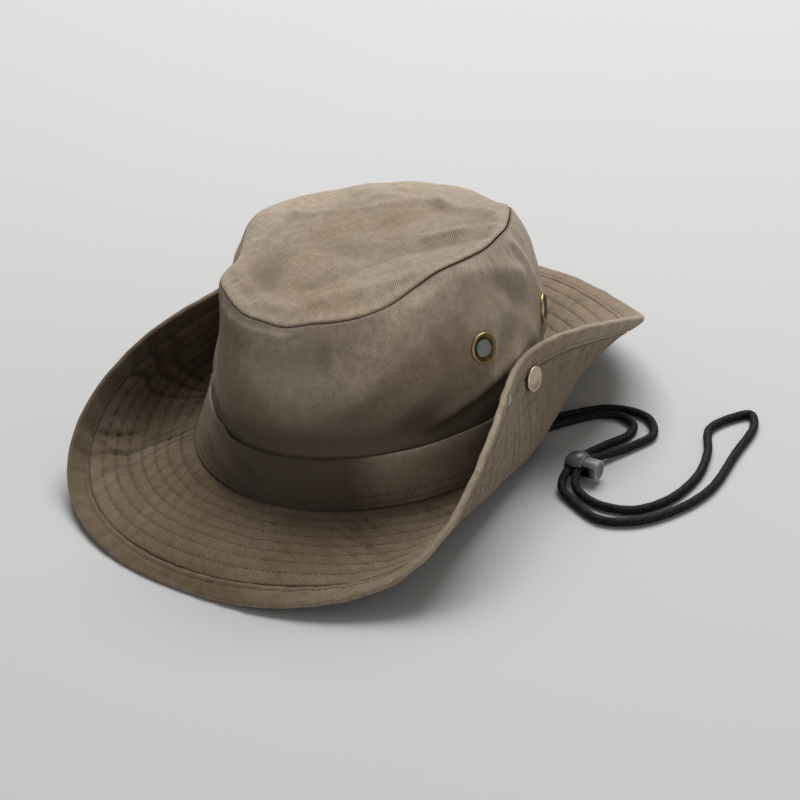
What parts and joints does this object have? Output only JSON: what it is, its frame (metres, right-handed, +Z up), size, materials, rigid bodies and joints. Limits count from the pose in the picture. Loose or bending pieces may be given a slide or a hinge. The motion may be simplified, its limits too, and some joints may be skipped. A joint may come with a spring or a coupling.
{
  "type": "bush hat",
  "caption": "Cloth bush hat with a quilted brim snapped up at both sides, screened vent eyelets and a chin cord with a spring lock.",
  "frame": {"origin": "under the middle of the hat, on the surface that it rests on; the chin cord isn't counted", "axes": "+Y to the back of the hat, +X to the wearer's left, +Z up"},
  "size_m": [0.2958, 0.325, 0.1184],
  "materials": {
    "twill": "washed cotton twill",
    "quilted_twill": "washed cotton twill in two layers, with rows of stitching",
    "brass": "antique brass",
    "screen": "fine wire mesh",
    "braid": "braided cord",
    "lock_plastic": "moulded, satin"
  },
  "bodies": {
    "hat": {"crown_top": "twill", "crown_wall": "twill", "hat_band": "twill", "brim": "quilted_twill", "brim_hem": "quilted_twill", "eyelet_left_front": "brass", "eyelet_left_back": "brass", "eyelet_right_front": "brass", "eyelet_right_back": "brass", "vent_screen_left_front": "screen", "vent_screen_left_back": "screen", "vent_screen_right_front": "screen", "vent_screen_right_back": "screen", "snap_cap_left": "brass", "snap_cap_right": "brass", "snap_stud_left": "brass", "snap_stud_right": "brass", "cord_tab_left": "twill", "cord_tab_right": "twill", "chin_cord": "braid", "cord_lock_body": "lock_plastic"},
    "lock_button": {"cord_lock_button": "lock_plastic"}
  },
  "joints": [
    {"name": "button_press", "type": "slide", "parent": "hat", "child": "lock_button", "axis": [-1, 0, 0], "range_m": [0, 0.003], "stiffness_N_per_m": 300}
  ]
}
